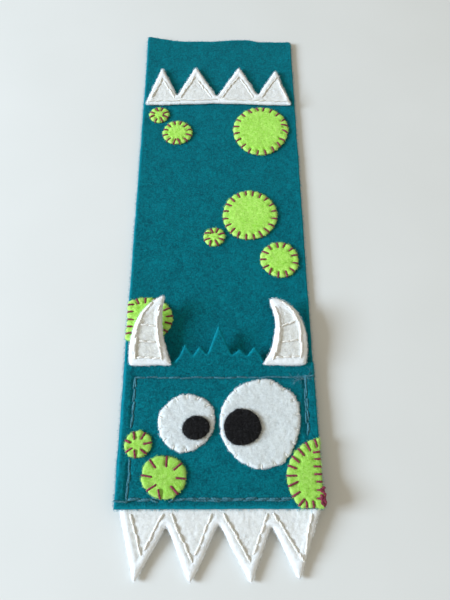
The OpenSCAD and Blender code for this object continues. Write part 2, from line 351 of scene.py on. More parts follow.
class Shader:
    """A node material that is built by short calls."""

    def __init__(self, name):
        self.material = bpy.data.materials.new(name)
        self.material.use_nodes = True
        self.tree = self.material.node_tree
        self.surface = self.tree.nodes["Principled BSDF"]
        self.rest = self.node("ShaderNodeAttribute", attribute_name="rest_mm").outputs["Vector"]

    def attribute(self, name):
        """A number that each point of the mesh carries."""
        return self.node("ShaderNodeAttribute", attribute_name=name).outputs["Fac"]

    def node(self, kind, inputs=(), **settings):
        made = self.tree.nodes.new(kind)
        for key, value in settings.items():
            setattr(made, key, value)
        for key, value in dict(inputs).items():
            self.set(made.inputs[key], value)
        return made

    def set(self, socket, value):
        """Links a socket to another, or gives it a fixed value."""
        if isinstance(value, bpy.types.NodeSocket):
            self.tree.links.new(value, socket)
        else:
            socket.default_value = value

    def moved(self, offset, turn):
        return self.node("ShaderNodeMapping", {
            "Vector": self.rest, "Location": offset, "Rotation": turn,
        }).outputs["Vector"]

    def noise(self, scale, detail=3.0, rough=0.6, twist=0.0, at=None):
        return self.node("ShaderNodeTexNoise", {
            "Vector": at or self.rest, "Scale": scale, "Detail": detail,
            "Roughness": rough, "Distortion": twist,
        }).outputs["Fac"]

    def math(self, operation, a, b=0.0):
        return self.node("ShaderNodeMath", {0: a, 1: b}, operation=operation).outputs[0]

    def ranged(self, value, low, high, to_low=0.0, to_high=1.0):
        return self.node("ShaderNodeMapRange", {
            "Value": value, "From Min": low, "From Max": high, "To Min": to_low, "To Max": to_high,
        }).outputs["Result"]

    def mixed(self, share, a, b):
        made = self.node("ShaderNodeMix", data_type="RGBA")
        for key, value in (("Factor_Float", share), ("A_Color", a), ("B_Color", b)):
            self.set(next(i for i in made.inputs if i.identifier == key), value)
        return next(o for o in made.outputs if o.identifier == "Result_Color")

    def lit_through(self, share, depth_mm):
        """Lets that share of the light spread inside the fibres, so far."""
        self.surface.inputs["Subsurface Weight"].default_value = share
        self.surface.inputs["Subsurface Radius"].default_value = (1, 1, 1)
        self.surface.inputs["Subsurface Scale"].default_value = depth_mm * MM

    def bump(self, height, strength, depth_mm):
        return self.node("ShaderNodeBump", {
            "Height": height, "Strength": strength, "Distance": depth_mm * MM,
        }).outputs["Normal"]


def felt_material(name, dark, light, fibre, edge, sheen_tint, sheen=0.12, show_fibre=0.6, relief=0.6,
                  glow=0.0):
    """Matted fibres: faint blotches, mottling at two sizes, and thin curved fibres lying every way.

    Near a cut edge, or where a piece is marked pale, the colour goes over to the edge colour, a painted
    highlight where the fibres of a cut edge or of a puffed border catch the light.
    """
    s = Shader(name)
    blotch = s.noise(0.16, 3, 0.55)
    mottle = s.noise(0.75, 4, 0.74, 1.0)
    speck = s.noise(2.0, 4, 0.8, 0.8)
    fibres = None
    for k, scale in enumerate((0.5, 0.75, 1.1)):
        field = s.noise(scale, 3, 0.55, 2.2, s.moved((31 * k, 17 * k, 5 * k), (0, 0, k)))
        line = s.ranged(s.math("ABSOLUTE", s.math("SUBTRACT", field, 0.5)), 0.0, 0.03, 1.0, 0.0)
        fibres = line if fibres is None else s.math("MAXIMUM", fibres, line)
    tone = s.ranged(blotch, 0.35, 0.65, -0.06, 0.12)
    tone = s.math("ADD", tone, s.ranged(mottle, 0.38, 0.62, -0.05, 0.55))
    tone = s.math("ADD", tone, s.ranged(speck, 0.38, 0.62, -0.05, 0.5))
    colour = s.mixed(tone, dark, light)
    show = s.math("MULTIPLY", fibres, s.ranged(speck, 0.4, 0.6, 0.0, show_fibre))
    colour = s.mixed(show, colour, fibre)
    # Painted highlight: the colour goes over to the edge colour near each cut edge and where the piece is marked pale
    edge_highlight = s.ranged(s.attribute("edge_mm"), 0.2, 1.4, 0.85, 0.0)
    pale = s.math("MAXIMUM", edge_highlight, s.attribute("pale"))
    pale = s.math("MULTIPLY", pale, s.ranged(mottle, 0.3, 0.7, 0.5, 1.0))
    colour = s.mixed(pale, colour, edge)
    height = s.math("ADD", mottle, s.math("MULTIPLY", fibres, 0.16))
    height = s.math("ADD", height, s.math("MULTIPLY", speck, 0.55))
    s.set(s.surface.inputs["Base Color"], colour)
    s.set(s.surface.inputs["Roughness"], s.ranged(mottle, 0.3, 0.7, 0.85, 1.0))
    s.set(s.surface.inputs["Normal"], s.bump(height, relief, 0.55))
    s.surface.inputs["Specular IOR Level"].default_value = 0.05
    s.surface.inputs["Sheen Weight"].default_value = sheen
    s.surface.inputs["Sheen Roughness"].default_value = 0.5
    s.surface.inputs["Sheen Tint"].default_value = (*sheen_tint, 1)
    s.lit_through(glow, 1.2)
    return s.material


def fuzz_material(name, dark, light):
    """Single loose fibres, each of its own tone."""
    s = Shader(name)
    tone = s.noise(0.7, 2, 0.5)
    s.set(s.surface.inputs["Base Color"], s.mixed(s.ranged(tone, 0.35, 0.65), dark, light))
    s.set(s.surface.inputs["Roughness"], s.ranged(tone, 0.3, 0.7, 0.85, 1.0))
    s.set(s.surface.inputs["Normal"], s.bump(s.noise(24.0, 2, 0.5), 0.2, 0.01))
    s.surface.inputs["Specular IOR Level"].default_value = 0.05
    return s.material


def thread_material(name, dark, light, rough=0.6, sheen=0.15, glow=0.0):
    """Stranded cotton: a soft sheen, fine filaments and slight changes of tone along it."""
    s = Shader(name)
    tone = s.noise(0.9, 4, 0.6, 0.6)
    filament = s.noise(9.0, 3, 0.75, 1.2)
    tone = s.math("ADD", tone, s.math("MULTIPLY", filament, 0.6))
    s.set(s.surface.inputs["Base Color"], s.mixed(s.ranged(tone, 0.55, 1.05), dark, light))
    s.set(s.surface.inputs["Roughness"], s.ranged(filament, 0.3, 0.7, rough - 0.1, rough + 0.2))
    s.set(s.surface.inputs["Normal"], s.bump(filament, 0.5, 0.08))
    s.surface.inputs["Specular IOR Level"].default_value = 0.25
    s.surface.inputs["Sheen Weight"].default_value = sheen
    s.lit_through(glow, 0.5)
    return s.material


def rgb(r, g, b):
    """A colour from its usual 0 to 255 values, as linear light."""
    def linear(v):
        v /= 255
        return v / 12.92 if v <= 0.04045 else ((v + 0.055) / 1.055) ** 2.4
    return (linear(r), linear(g), linear(b), 1.0)


LIME = {"sheen_tint": (0.85, 1, 0.5)}
WHITE = {"sheen_tint": (0.9, 0.95, 1), "sheen": 0.1, "show_fibre": 0.5, "relief": 0.45, "glow": 0.6}
# The fourth colour of each felt is its edge colour, a painted highlight for cut edges and puffed borders
FELTS = {
    "teal_felt": felt_material(
        "teal_felt", rgb(0, 68, 82), rgb(3, 130, 142), rgb(34, 160, 178), rgb(10, 156, 176),
        sheen_tint=(0.1, 0.8, 0.95), show_fibre=0.5, relief=0.9),
    "white_felt": felt_material(
        "white_felt", rgb(205, 206, 201), rgb(235, 236, 229), rgb(246, 249, 248), rgb(246, 251, 253),
        **WHITE),
    # Painted shade: a darker, cooler copy of the white felt, for the eyes, which lie in weaker light
    "cool_white_felt": felt_material(
        "cool_white_felt", rgb(197, 204, 204), rgb(227, 234, 232), rgb(240, 248, 250), rgb(243, 250, 253),
        **WHITE),
    "lime_felt": felt_material(
        "lime_felt", rgb(142, 216, 54), rgb(196, 251, 120), rgb(222, 254, 160), rgb(202, 244, 138), **LIME),
    # Painted shade: a darker copy of the lime felt, for the spots on the head, which lie in weaker light
    "deep_lime_felt": felt_material(
        "deep_lime_felt", rgb(130, 198, 50), rgb(178, 232, 108), rgb(204, 240, 146), rgb(186, 228, 124),
        sheen=0.1, **LIME),
    "black_felt": felt_material(
        "black_felt", rgb(9, 9, 10), rgb(30, 30, 32), rgb(84, 84, 86), rgb(34, 34, 36),
        sheen_tint=(1, 1, 1), sheen=0.04, show_fibre=0.35, relief=0.9),
}
FUZZ = {
    "teal_felt": fuzz_material("teal_fuzz", rgb(2, 112, 128), rgb(20, 158, 176)),
    "white_felt": fuzz_material("white_fuzz", rgb(246, 251, 254), rgb(253, 254, 255)),
    "lime_felt": fuzz_material("lime_fuzz", rgb(158, 228, 70), rgb(206, 253, 134)),
    "black_felt": fuzz_material("black_fuzz", rgb(12, 12, 13), rgb(44, 44, 46)),
}
# Loose fibres: how many for each millimetre of cut edge and how far they stand out from it, and how
# many for each square millimetre on top
LOOSE = {
    "teal_felt": {"per_mm": 3.5, "longest": 0.85, "per_mm2": 0.12},
    "white_felt": {"per_mm": 5.0, "longest": 0.5, "per_mm2": 0.5},
    "lime_felt": {"per_mm": 3.0, "longest": 0.6, "per_mm2": 0.35},
    "black_felt": {"per_mm": 5.0, "longest": 0.6, "per_mm2": 0.4},
}
THREADS = {
    "plum_thread": thread_material("plum_thread", rgb(92, 22, 42), rgb(160, 56, 88)),
    "cream_thread": thread_material(
        "cream_thread", rgb(238, 233, 218), rgb(255, 254, 247), rough=0.4, glow=0.6),
    "slate_thread": thread_material(
        "slate_thread", rgb(18, 76, 90), rgb(78, 144, 158), rough=0.8, sheen=0.0),
    "black_thread": thread_material("black_thread", rgb(8, 8, 9), rgb(26, 26, 28)),
}


# ---- Meshes ----

RIM = 0.45          # height of a cut edge's rim, as a share of the felt's thickness
FIBRE_R = 0.036     # radius of a loose fibre
TABLE_GAP = 0.08    # least height of a loose fibre


def new_object(name, points, faces, material, sharp=(), marks=None):
    """A mesh object from points in millimetres.

    It keeps them as rest_mm for its material. Marks are more numbers that each point carries, and
    sharp lists the edges that aren't shaded smooth.
    """
    mesh = bpy.data.meshes.new(name)
    mesh.from_pydata((np.asarray(points) * MM).tolist(), [], [list(f) for f in faces])
    mesh.validate()
    rest = mesh.attributes.new("rest_mm", "FLOAT_VECTOR", "POINT")
    rest.data.foreach_set("vector", np.asarray(points, np.float32).ravel())
    for key, values in (marks or {}).items():
        mesh.attributes.new(key, "FLOAT", "POINT").data.foreach_set("value", np.asarray(values, np.float32))
    mesh.shade_smooth()
    if len(sharp):
        wanted = {tuple(sorted(e)) for e in sharp}
        creases = mesh.attributes.new("sharp_edge", "BOOLEAN", "EDGE")
        creases.data.foreach_set("value", [tuple(sorted(e.vertices)) in wanted for e in mesh.edges])
    mesh.materials.append(material)
    made = bpy.data.objects.new(name, mesh)
    bpy.context.scene.collection.objects.link(made)
    return made


class Felt:
    """A cut piece of felt, with round edges, pressed down along its stitches.

    lies_on(xy) is the height of what is under it, and round_r is how wide its round edge is. The groove
    is the starts and ends of the lines along which it is pressed down, with its depth and its width.
    The roll is the width of a puffed border, with how much lower the felt is inside it; the border's colour is
    a painted highlight. base_pale is how much of that painted highlight lies inside the border, and lump
    is how uneven its top is.
    """

    def __init__(self, loop, lies_on, thick, round_r, groove=None, seed=1, lump=0.07, roll=None,
                 base_pale=0.0):
        self.loop = loop
        self.lies_on = lies_on
        self.thick = thick
        self.round_r = round_r
        self.groove = groove
        self.seed = seed
        self.lump = lump
        self.roll = roll
        self.base_pale = base_pale

    def edge(self, xy):
        return distances(xy, self.loop, np.roll(self.loop, -1, axis=0))

    def level(self, xy):
        """Height of its top, without the round edge and the groove."""
        return self.lies_on(xy) + self.thick

    def within_roll(self, edge):
        """0 in the puffed border, and 1 inside it."""
        return smooth((edge - self.roll[0]) / 1.1) if self.roll else np.zeros(len(edge))

    def sides(self, xy, edge=None):
        """Heights of its underside and of its top."""
        edge = self.edge(xy) if edge is None else edge
        full = np.sqrt(1 - (1 - np.clip(edge / self.round_r, 0, 1)) ** 2)
        low = self.lies_on(xy)
        middle = low + self.thick * RIM
        top = middle + self.thick * (1 - RIM) * full
        bottom = middle - self.thick * RIM * full
        if self.lump:
            top = top + full * self.lump * (ripple(xy, 1.1, self.seed) + 1.1 * ripple(xy, 3.4, self.seed + 3))
        if self.roll:
            top = top - self.roll[1] * full * self.within_roll(edge)
        if self.groove:
            starts, ends, depth, width = self.groove
            top = top - depth * full * np.exp(-(distances(xy, starts, ends) / width) ** 2)
        return bottom, np.maximum(top, bottom + 0.25 * full * self.thick)

    def top(self, xy):
        return self.sides(xy)[1]

    def pale(self, edge):
        """How far the colour goes over to the edge colour, a painted highlight on the puffed border, by the distance
        from the edge.
        """
        if not self.roll:
            return np.full(len(edge), self.base_pale)
        return 1 - (1 - self.base_pale) * self.within_roll(edge)

    def spread(self, rim, grid):
        """Points to build the felt on: its rim, rings within the round edge, and a slightly uneven grid."""
        rng = np.random.default_rng(self.seed)
        low, high = rim.min(axis=0), rim.max(axis=0)
        rows = []
        for k, y in enumerate(np.arange(low[1], high[1], grid * math.sqrt(3) / 2)):
            xs = np.arange(low[0] + (k % 2) * grid / 2, high[0], grid)
            rows.append(np.column_stack([xs, np.full(len(xs), y)]))
        lattice = np.vstack(rows)
        lattice = lattice + rng.uniform(-0.12, 0.12, lattice.shape) * grid
        starts, ends = rim, np.roll(rim, -1, axis=0)
        lattice = lattice[inside(lattice, rim)]
        lattice = lattice[distances(lattice, starts, ends) > max(self.round_r, 0.5 * grid) + 0.3 * grid]
        points = [rim]
        for share in (0.12, 0.42, 1.0):
            ring = self.loop - outward(self.loop) * self.round_r * share
            ring = ring[inside(ring, rim)]
            if len(ring):
                ring = ring[distances(ring, starts, ends) > 0.8 * self.round_r * share]
            points.append(ring)
        return np.vstack([*points, lattice])

    def mesh(self, name, material, grid, part=None):
        """Makes the closed mesh: of the whole piece, or of the part of it within another outline.

        Top and underside share their points along the cut edge. A part has a wall where it was parted.
        """
        rim = self.loop if part is None else part
        xy, triangles = triangulated(self.spread(rim, grid), rim)
        edge = self.edge(xy)
        shared = edge < 1e-3
        edge[shared] = 0
        bottom, top = self.sides(xy, edge)
        under = np.arange(len(xy))
        under[~shared] = len(xy) + np.arange((~shared).sum())
        heights = np.where(shared, (bottom + top) / 2, top)
        solid = np.vstack([np.column_stack([xy, heights]), np.column_stack([xy, bottom])[~shared]])
        faces = [tuple(t) for t in triangles] + [tuple(under[t[::-1]]) for t in triangles]
        directed = {(t[i], t[(i + 1) % 3]) for t in triangles.tolist() for i in range(3)}
        sharp = []
        for p, q in directed:
            if (q, p) not in directed and not (shared[p] and shared[q]):
                corners = [q, p] + [v for v in (under[p], under[q]) if v not in (p, q)]
                faces.append(tuple(int(v) for v in corners))
                sharp += [(p, q), (under[p], under[q])]
        edges = np.concatenate([edge, edge[~shared]])
        return new_object(name, solid, faces, material, sharp, {"edge_mm": edges, "pale": self.pale(edges)})


def triangulated(points, rim):
    """Triangles of the area within an outline, whose points come first. No inner edge spans the outline."""
    count = len(rim)
    fixed = [list(range(count))]
    while True:
        found = geometry.delaunay_2d_cdt([Vector(p) for p in points], [], fixed, 0, 1e-6, True)
        xy = np.array([tuple(v) for v in found[0]])
        triangles = np.array(found[2])
        triangles = triangles[inside(xy[triangles].mean(axis=1), rim)]
        on_rim = np.array([any(k < count for k in origin) for origin in found[3]])
        edges = np.unique(np.sort(np.vstack([triangles[:, [0, 1]], triangles[:, [1, 2]],
                                             triangles[:, [2, 0]]]), axis=1), axis=0, return_counts=True)
        spans = edges[0][(edges[1] == 2) & on_rim[edges[0]].all(axis=1)]
        if not len(spans):
            break
        points = np.vstack([points, xy[spans].mean(axis=1)])
    a, b, c = (xy[triangles[:, k]] for k in range(3))
    turned = np.cross(b - a, c - a) < 0
    triangles[turned] = triangles[turned][:, ::-1]
    return xy, triangles


def strands(paths, radius):
    """Points and faces of many thin closed fibres, from their paths: fibre, point along it, XYZ."""
    along = np.gradient(paths, axis=1)
    along /= np.maximum(np.linalg.norm(along, axis=2, keepdims=True), 1e-9)
    side = np.cross(along, (0.31, 0.22, 0.93))
    side /= np.maximum(np.linalg.norm(side, axis=2, keepdims=True), 1e-9)
    across = np.cross(along, side)
    count, steps = paths.shape[:2]
    taper = radius * np.array([0.8] + [1.0] * (steps - 2) + [0.35])[None, :, None]
    ring = [paths + taper * (math.cos(a) * side + math.sin(a) * across) for a in 2 * np.pi * np.arange(3) / 3]
    points = np.stack(ring, axis=2).reshape(-1, 3)
    one = [(3 * i + j, 3 * i + (j + 1) % 3, 3 * i + 3 + (j + 1) % 3, 3 * i + 3 + j)
           for i in range(steps - 1) for j in range(3)]
    one += [(2, 1, 0), (3 * steps - 3, 3 * steps - 2, 3 * steps - 1)]
    faces = [tuple(v + 3 * steps * k for v in f) for k in range(count) for f in one]
    return points, faces


def edge_fibres(felt, rng, part_of, per_mm, longest):
    """Paths of fibres that stand out from a cut edge: fibre, point along it, XYZ."""
    loop = felt.loop
    spacing = np.linalg.norm(np.roll(loop, -1, axis=0) - loop, axis=1)
    kept = np.ones(len(loop), bool) if part_of is None else part_of(loop)
    count = int(spacing[kept].sum() * per_mm)
    pick = rng.choice(np.flatnonzero(kept), count)
    out = outward(loop)[pick]
    way = out + np.stack([-out[:, 1], out[:, 0]], axis=1) * rng.normal(0, 0.8, (count, 1))
    way /= np.linalg.norm(way, axis=1, keepdims=True)
    aside = np.stack([-way[:, 1], way[:, 0]], axis=1)
    reach = rng.uniform(0.25, longest, count)
    level = felt.lies_on(loop[pick]) + felt.thick * rng.uniform(0.45, 0.85, count)
    rise = rng.uniform(-0.15, 0.7, count)
    bend = rng.normal(0, 0.35, count)
    t = np.array([-0.35, 0.15, 0.5, 0.8, 1.0])
    beyond = np.maximum(t, 0)
    flat = loop[pick][:, None] + way[:, None] * (reach[:, None] * t)[..., None]
    flat = flat + aside[:, None] * (bend[:, None] * beyond ** 2)[..., None]
    height = level[:, None] + (reach * rise)[:, None] * beyond - 0.25 * beyond ** 2
    return np.concatenate([flat, np.maximum(height, TABLE_GAP)[..., None]], axis=2)


def trails(start, heading, curl, size, steps):
    """Curved lines over the plane: line, point along it, XY."""
    trail = [start]
    for k in range(steps):
        angle = heading + curl * k / (steps - 1)
        trail.append(trail[-1] + size / steps * np.stack([np.cos(angle), np.sin(angle)], axis=1))
    return np.stack(trail, axis=1)


def top_fibres(felt, rng, part_of, per_mm2):
    """Paths of fibres that lie on a felt piece, with their ends in it."""
    loop = felt.loop
    low, high = loop.min(axis=0), loop.max(axis=0)
    start = rng.uniform(low, high, (int(np.prod(high - low) * per_mm2), 2))
    heading = rng.uniform(0, 2 * np.pi, len(start))
    curl = rng.normal(0, 0.9, len(start))
    size = rng.uniform(0.8, 2.2, len(start))
    trail = trails(start, heading, curl, size[:, None], 4)
    good = inside(trail.reshape(-1, 2), loop).reshape(trail.shape[:2]).all(axis=1)
    if part_of is not None:
        good &= part_of(trail[:, 0]) & part_of(trail[:, -1])
    trail = trail[good]
    over = felt.top(trail.reshape(-1, 2)).reshape(trail.shape[:2]) + FIBRE_R * np.array([-1, 1, 2.2, 1.4, -1])
    return np.concatenate([trail, over[..., None]], axis=2)


def fuzz(felt, name, material, part_of, per_mm, longest, per_mm2):
    """All the loose fibres of a felt piece, or of the part of it for which part_of(xy) is true."""
    rng = np.random.default_rng(felt.seed + 500)
    paths = [edge_fibres(felt, rng, part_of, per_mm, longest), top_fibres(felt, rng, part_of, per_mm2)]
    points, faces = strands(np.concatenate(paths), FIBRE_R)
    return new_object(name, points, faces, material)


def tube(path, radius, sides=6):
    """Points and faces of a closed round tube along a path, with its ends drawn in."""
    along = np.gradient(path, axis=0)
    along /= np.maximum(np.linalg.norm(along, axis=1, keepdims=True), 1e-9)
    side = np.cross(along[0], (0.3, 0.2, 1.0))
    turn = 2 * np.pi * np.arange(sides) / sides
    points = []
    for k, (p, d) in enumerate(zip(path, along)):
        side = side - d * (side @ d)
        side /= np.linalg.norm(side)
        across = np.cross(d, side)
        r = radius * (0.55 if k in (0, len(path) - 1) else 1)
        points.append(p + r * (np.cos(turn)[:, None] * side + np.sin(turn)[:, None] * across))
    n = len(path)
    faces = [
        (i * sides + j, i * sides + (j + 1) % sides, (i + 1) * sides + (j + 1) % sides, (i + 1) * sides + j)
        for i in range(n - 1) for j in range(sides)
    ]
    faces += [tuple(range(sides))[::-1], tuple((n - 1) * sides + j for j in range(sides))]
    return np.vstack(points), faces


def plies(path, radius, pitch, count, phase):
    """The strands of a twisted thread along a path, as tubes round each other, one turn to a pitch."""
    along = np.gradient(path, axis=0)
    along /= np.maximum(np.linalg.norm(along, axis=1, keepdims=True), 1e-9)
    run = np.concatenate([[0], np.cumsum(np.linalg.norm(np.diff(path, axis=0), axis=1))])
    side = np.cross(along, (0.13, 0.07, 1.0))
    side /= np.maximum(np.linalg.norm(side, axis=1, keepdims=True), 1e-9)
    across = np.cross(along, side)
    for k in range(count):
        a = (phase + 2 * np.pi * (run / pitch + k / count))[:, None]
        yield tube(path + radius * 0.38 * (np.cos(a) * side + np.sin(a) * across), radius * 0.7)


class Thread:
    """All the stitches of one CAD node, gathered into one mesh of twisted thread."""

    def __init__(self, radius, pitch, seed, count=2):
        self.points, self.faces, self.size = [], [], 0
        self.radius, self.pitch, self.count = radius, pitch, count
        self.rng = np.random.default_rng(seed)

    def lay(self, path, samples=12):
        """Thread along a smooth curve through some points."""
        path = curve_through(np.array(path), samples)
        for points, faces in plies(path, self.radius, self.pitch, self.count, self.rng.uniform(0, 6.28)):
            self.points.append(points)
            self.faces += [tuple(v + self.size for v in f) for f in faces]
            self.size += len(points)

    def whip(self, inner, outer, felt, under):
        """A stitch from a hole in the felt, over its edge and down into the felt under it."""
        spin = self.rng.normal(0, 0.12)
        step = (outer - inner) * self.rng.uniform(0.95, 1.25)
        step = np.array([step[0] - spin * step[1], step[1] + spin * step[0]])
        line = outer + step * np.linspace(-1, 0.1, 45)[:, None]
        within = inside(line, felt.loop)
        edge = line[np.flatnonzero(within)[-1]] if within.any() else outer
        hole = outer - step
        reach = np.linalg.norm(edge - hole)
        way = step / np.linalg.norm(step)
        # In the hole, up out of it, along the top to the edge, and two points down beside the edge
        run = np.array([-0.12, 0.1, 0.35 * reach, 0.7 * reach, reach - 0.15, reach + 0.12, reach + 0.22])
        at = hole + way * run[:, None]
        base, height, r = under(at), felt.top(at), self.radius
        height = height + np.array([-0.8, 0.1 * r, 0.6 * r, 0.7 * r, 0.65 * r, 0, 0])
        height[-2:] = base[-2:] + np.array([0.5 * (height[-3] - base[-3]), -0.2])
        self.lay(np.column_stack([at, height]))

    def stitch(self, p, q, surface, longer, stray, dive):
        """A straight stitch that comes up at p and goes down at q.

        It is longer than that at each end, strays aside at random and dives into the felt so far.
        """
        step = (q - p) / np.linalg.norm(q - p)
        side = np.array([-step[1], step[0]])
        p = p - step * longer + side * self.rng.normal(0, stray)
        q = q + step * longer + side * self.rng.normal(0, stray)
        at = np.array([p + (q - p) * t for t in (0, 0.08, 0.28, 0.5, 0.72, 0.92, 1)])
        r = self.radius
        lift = np.array([-dive, 0.1 * r, 0.7 * r, 0.9 * r, 0.7 * r, 0.1 * r, -dive])
        self.lay(np.column_stack([at, surface(at) + lift]), 14)

    def tangle(self, middle, size, turns):
        """Loops of thread wound over each other, where the thread was finished off."""
        for k in range(turns):
            a = self.rng.uniform(0, np.pi) + np.linspace(0, 1.4 * np.pi, 7)
            wide, tall = size * self.rng.uniform(0.6, 1.0, 2)
            lift = self.rng.uniform(-0.3, 0.4) * size
            spot = middle + np.array([*self.rng.normal(0, 0.25 * size, 2), lift])
            loop = np.column_stack([wide * np.cos(a), 1.3 * tall * np.sin(a), 0.4 * size * np.sin(2 * a)])
            self.lay(spot + loop, 18)

    def beneath(self, p, q):
        """A stitch that shows on the underside of the strip."""
        at = np.array([p + (q - p) * t for t in (0, 0.15, 0.5, 0.85, 1)])
        lift = np.array([0.5, 0.3, 0.26, 0.3, 0.5])
        self.lay(np.column_stack([at, ground(at) + lift]), 9)

    def build(self, node, slot, carry):
        """Makes the mesh in place of a CAD node. Carry puts it on its body or bodies."""
        made = new_object(node + "_thread", np.vstack(self.points), self.faces, THREADS[slot])
        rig.replaces(made, node)
        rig.slot(made, slot)
        carry(made)
        return made


# ---- Shape of the lying puppet ----

def head_s(xy):
    """Distance along the strip from the head's bottom edge."""
    return xy[:, 1] - HEAD_Y


def ground(xy):
    """Height of the strip's underside: almost flat, with its edges and corners a little off the table."""
    s = head_s(xy)
    x = xy[:, 0]
    wave = 0.52 + 0.14 * ripple(xy, 38, 2)
    right = 0.7 * smooth((x - 24) / 14) * smooth((70 - s) / 60)
    corner = 1.0 * smooth((s - 214) / 20) * smooth((-x - 12) / 26)
    curl = 0.25 * smooth((np.abs(x) - 30) / 8)
    shoulder = 0.7 * smooth((np.abs(x) - 24) / 10) * np.exp(-((s - 60) / 7) ** 2)
    return wave + right + corner + curl + shoulder


def panel_under(xy):
    """Height of the head panel's underside: over the fang strip, puffed inside its seam, its top edge up."""
    s = head_s(xy)
    u = np.clip((xy[:, 0] - SEAM_LOW[0]) / (SEAM_HIGH[0] - SEAM_LOW[0]), 0, 1)
    v = np.clip((xy[:, 1] - SEAM_LOW[1]) / (SEAM_HIGH[1] - SEAM_LOW[1]), 0, 1)
    puff = 0.7 * np.sqrt(np.sin(np.pi * u) * np.sin(np.pi * v))
    over_fangs = WHITE_THICK * 0.8 * (1 - smooth((s - 0.6 * TUCK) / (1.3 * TUCK)))
    past = np.maximum(0, s - (SEAM_HIGH[1] - HEAD_Y) - 1)
    middle = 1 - 0.75 * smooth((np.abs(xy[:, 0]) - 16) / 18)
    flange = middle * (2.3 * smooth(past / 7) + 0.22 * np.maximum(0, past - 6))
    return ground(xy) + FELT_THICK + puff + over_fangs + flange


def riding(body):
    """Carries a piece on one body."""
    return lambda made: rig.ride(made, body)


def bending(start_body, end_body, start_y, end_y):
    """Carries a piece on two bodies, with its bend between two places along Y."""
    return lambda made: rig.blend(made, start_body, end_body, (0, start_y * MM, 0), (0, end_y * MM, 0))


SMALLEST_SHEET = 10
cuts = {}    # what declare_sheets needs to know of each felt piece


def place_felt(name, felt, slot, nodes, carry, rests, grid, part=None, part_of=None, dye=None):
    """Makes a felt piece in place of its CAD nodes, and keeps its cut size to declare at the end.

    Part is the outline of the part that is made, and part_of(xy) is true for points in it. The last
    argument, if given, names a darker copy of the slot's material, whose colour is painted shade.
    """
    made = felt.mesh(name, FELTS[dye or slot], grid, part)
    loose = fuzz(felt, name + "_fuzz", FUZZ[slot], part_of, **LOOSE[slot])
    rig.replaces(made, *nodes)
    for piece in (made, loose):
        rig.slot(piece, slot)
        carry(piece)
    loop = felt.loop if part is None else part
    after = np.roll(loop, -1, axis=0)
    area = abs(np.sum(loop[:, 0] * after[:, 1] - after[:, 0] * loop[:, 1])) / 2
    cuts[name] = {"made": made, "size": np.ptp(loop, axis=0), "area": area, "rests": rests, "with": [loose]}


def declare_sheets():
    """Each felt piece is a sheet. One that is too small to be declared goes with what it lies on."""
    small = [n for n, cut in cuts.items() if min(cut["size"]) < SMALLEST_SHEET]
    for name in small:
        cuts[cuts[name]["rests"][0]]["with"] += [cuts[name]["made"], *cuts[name]["with"]]
    for name, cut in cuts.items():
        if name not in small:
            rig.sheet(cut["made"], flat=[float(v * MM) for v in cut["size"]], held="laid",
                     rests_on=cut["rests"], area=float(cut["area"] * MM * MM), with_pieces=cut["with"])


# ---- Strip: one piece of felt, made as two meshes that meet under no strain, between the folds ----

def strip_outline():
    """A straight-sided strip, with the far edge of the pocket panel."""
    pocket = outline_of("pocket_panel")
    far = pocket[pocket[:, 1] > POCKET_FOLD + 1]
    far = far[np.argsort(-far[:, 0])]
    near = [[-HALF_W, HEAD_Y], [HALF_W, HEAD_Y]]
    return np.vstack([near, far])


EDGE_R = 0.8         # how wide the round edge of the teal felt is
STRIP_GRID = 0.95    # spacing of the strip's points
strip = Felt(hand_cut(strip_outline(), step=0.8, wander=0.16, seed=3), ground, FELT_THICK, EDGE_R, seed=3)
cut_y = (HEAD_FOLD + POCKET_FOLD) / 2


def near_cut(xy):
    """True for points on the head's side of the cut."""
    return xy[:, 1] < cut_y


def strip_part(near):
    """The strip's outline on one side of the cut, with points along the cut itself."""
    loop = strip.loop
    keep = near_cut(loop) == near
    order = np.roll(np.arange(len(loop)), -int(np.argmax(keep & ~np.roll(keep, 1))))
    run = loop[order[keep[order]]]
    across = np.arange(-HALF_W + 1, HALF_W - 0.9, 1.0)
    start, end = run[-1], run[0]
    cut = np.column_stack([across if start[0] < 0 else across[::-1], np.full(len(across), cut_y)])
    ends = [[start[0], cut_y], [end[0], cut_y]]
    return np.vstack([run, ends[:1], cut, ends[1:]])


# Half of how much of the strip bends at each fold
HEAD_BEND = 6
POCKET_BEND = 2.4
place_felt("strip_head_end", strip, "teal_felt", ["head_backing"],
           bending("back", "head", HEAD_FOLD + HEAD_BEND, HEAD_FOLD - HEAD_BEND),
           [], STRIP_GRID, strip_part(near=True), near_cut)
place_felt("strip_far_end", strip, "teal_felt", ["back_panel", "pocket_panel"],
           bending("back", "pocket", POCKET_FOLD - POCKET_BEND, POCKET_FOLD + POCKET_BEND),
           [], STRIP_GRID, strip_part(near=False), lambda xy: ~near_cut(xy))


# ---- Head panel and its seam ----

seam_bars = bars_of("head_seam")
seam_groove = (np.array([b[0] for b in seam_bars]), np.array([b[1] for b in seam_bars]), 0.75, 0.75)
panel_loop = hand_cut(outline_of("head_panel"), step=0.5, wander=0.12, seed=5, rounding=1)
panel = Felt(panel_loop, panel_under, FELT_THICK, EDGE_R, seam_groove, seed=5)
place_felt("head_felt", panel, "teal_felt", ["head_panel"], riding("head"), ["strip_head_end"], grid=0.8)


